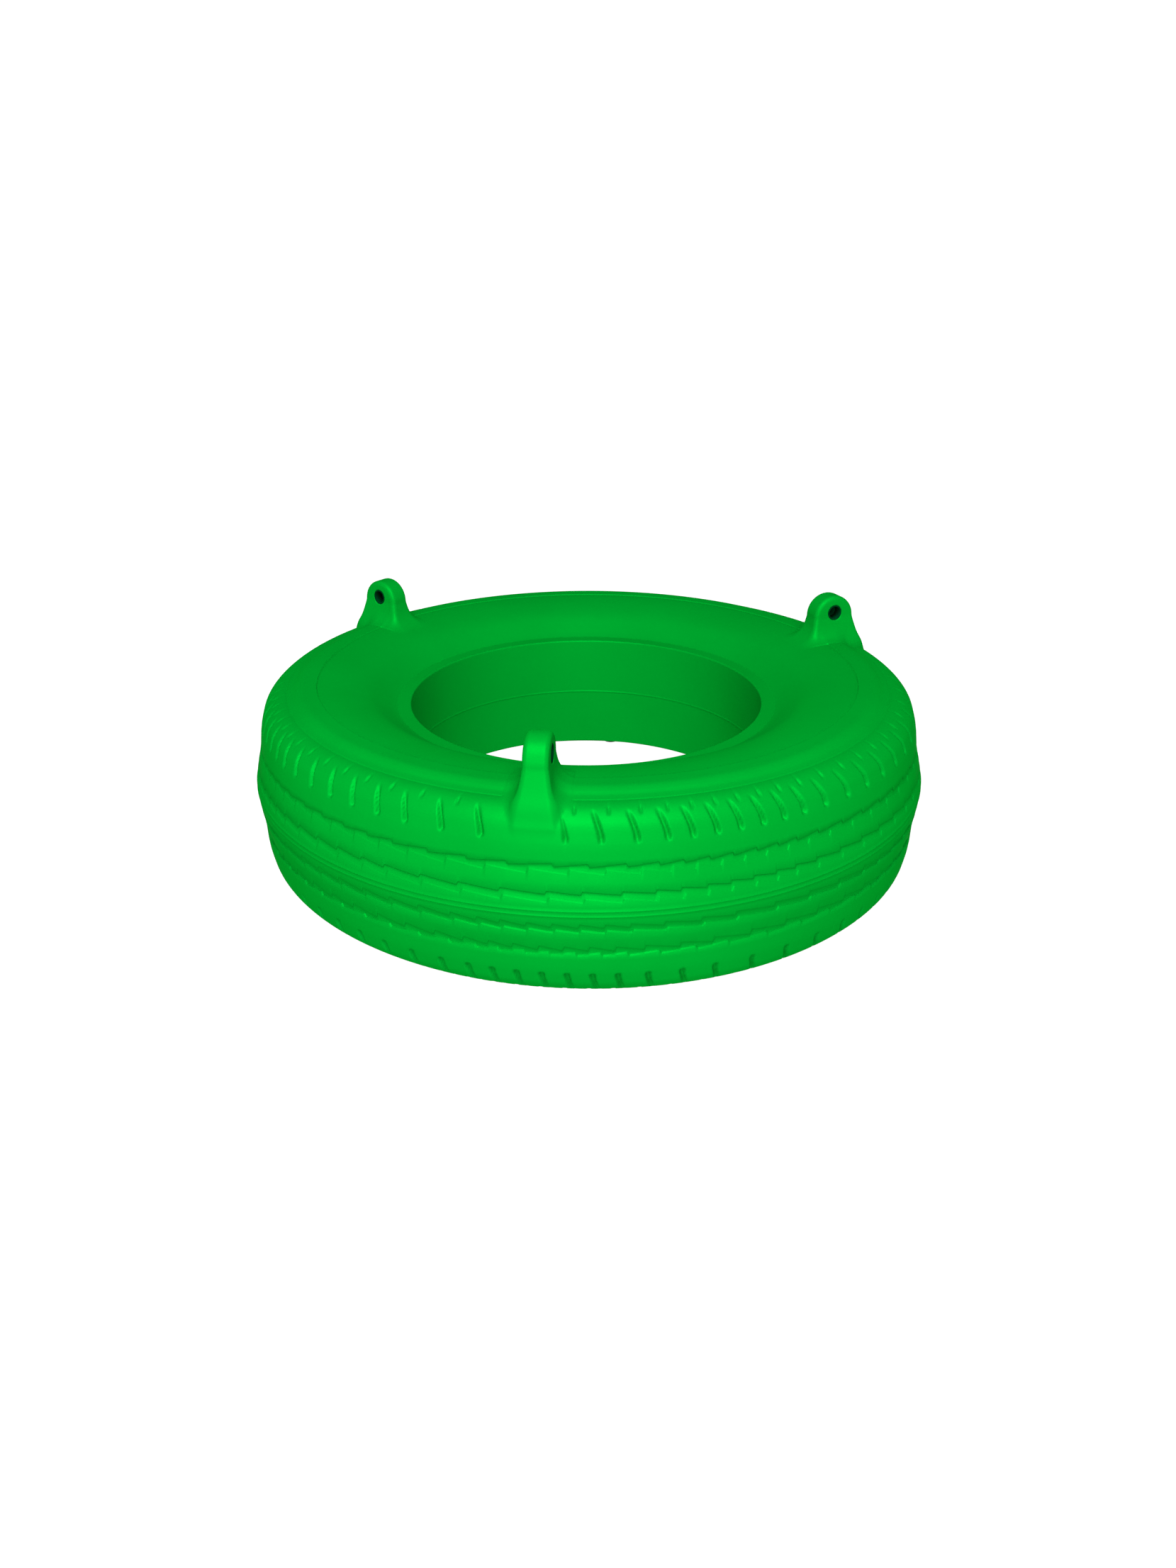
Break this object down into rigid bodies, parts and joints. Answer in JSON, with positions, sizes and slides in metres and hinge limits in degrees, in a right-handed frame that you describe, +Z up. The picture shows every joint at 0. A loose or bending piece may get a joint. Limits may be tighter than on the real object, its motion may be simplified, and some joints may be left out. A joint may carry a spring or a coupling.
{
  "type": "tire swing seat",
  "caption": "Hollow moulded plastic tyre-shaped swing seat with upstanding holed lugs for hanging chains.",
  "frame": {"origin": "centre of the plane that the seat rests on, on the axis of the central hole", "axes": "+Z up along the hole's axis; -Y towards one lug; +X along that lug's pin bore"},
  "size_m": [0.666, 0.666, 0.2259],
  "materials": {
    "green_plastic": "glossy moulded polyethylene, faint moulding texture",
    "plated_steel": "zinc plated",
    "black_nylon": "satin black",
    "plug_plastic": "satin black"
  },
  "bodies": {
    "root": {"tire_shell": "green_plastic", "lug_sleeve_front": "plated_steel", "lug_sleeve_right": "plated_steel", "lug_sleeve_left": "plated_steel", "lug_bush_front_a": "black_nylon", "lug_bush_front_b": "black_nylon", "lug_bush_right_a": "black_nylon", "lug_bush_right_b": "black_nylon", "lug_bush_left_a": "black_nylon", "lug_bush_left_b": "black_nylon", "drain_plug": "plug_plastic"}
  },
  "joints": []
}
